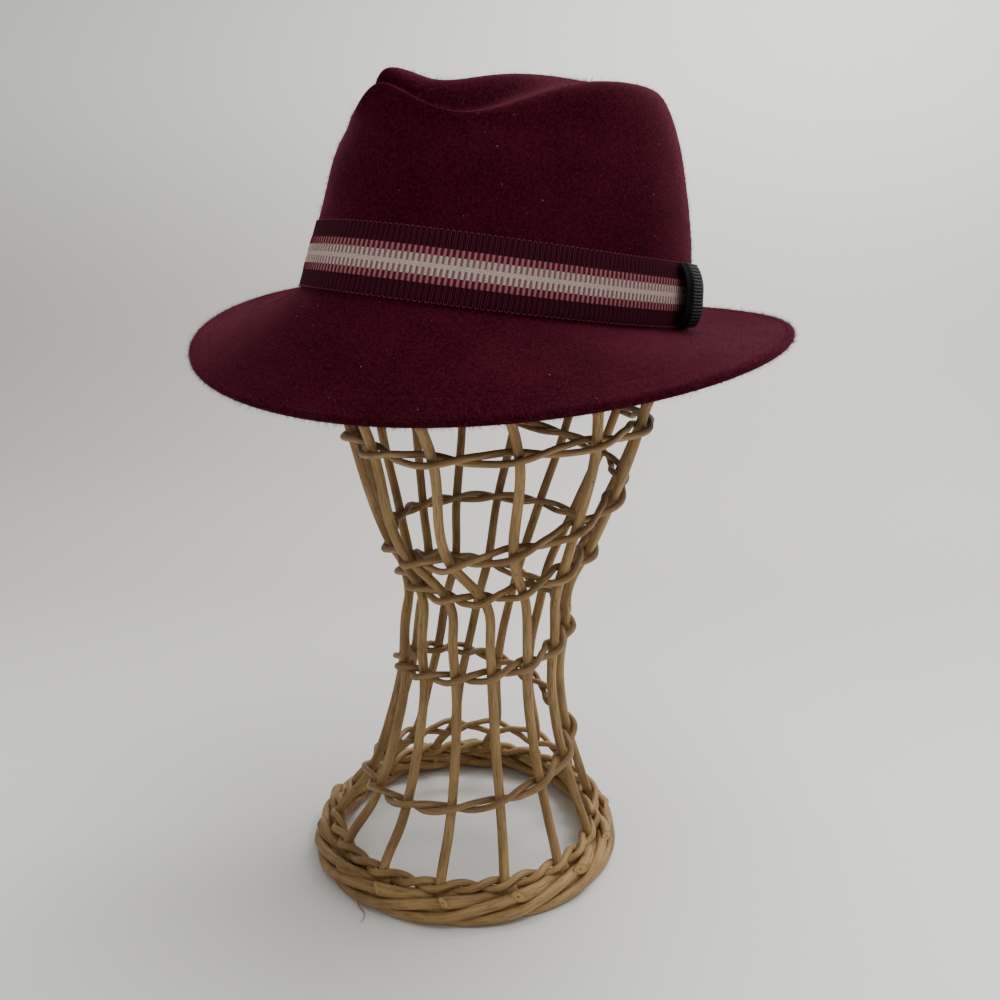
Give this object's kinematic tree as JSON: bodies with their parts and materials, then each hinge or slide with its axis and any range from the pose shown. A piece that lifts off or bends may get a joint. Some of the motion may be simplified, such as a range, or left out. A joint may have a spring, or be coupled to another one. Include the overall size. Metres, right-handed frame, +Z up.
{
  "type": "trilby on a wicker hat stand",
  "caption": "Felt trilby with a teardrop crown, a snap brim, a striped ribbon band and a black ribbon keeper, resting on a plain open wicker hat stand.",
  "frame": {"origin": "middle of the underside of the whole, on the surface it stands on", "axes": "+Z up, -Y towards the hat's front, +X towards the wearer's left"},
  "size_m": [0.2788, 0.2792, 0.3829],
  "materials": {
    "felt": "soft brushed felt",
    "grosgrain": "ribbed ribbon",
    "black_grosgrain": "ribbed ribbon",
    "willow": "smooth bare rod",
    "split_willow": "smooth bare rod"
  },
  "bodies": {
    "root": {"felt_body": "felt", "ribbon_band": "grosgrain", "ribbon_keeper": "black_grosgrain", "border": "willow", "cap": "willow", "stake_01": "willow", "stake_02": "willow", "stake_03": "willow", "stake_04": "willow", "stake_05": "willow", "stake_06": "willow", "stake_07": "willow", "stake_08": "willow", "stake_09": "willow", "stake_10": "willow", "stake_11": "willow", "stake_12": "willow", "stake_13": "willow", "stake_14": "willow", "row_1_weaver_a": "split_willow", "row_1_weaver_b": "split_willow", "row_2_weaver_a": "split_willow", "row_2_weaver_b": "split_willow", "row_3_weaver_a": "split_willow", "row_3_weaver_b": "split_willow", "row_4_weaver_a": "split_willow", "row_4_weaver_b": "split_willow", "row_5_weaver_a": "split_willow", "row_5_weaver_b": "split_willow"}
  },
  "joints": []
}
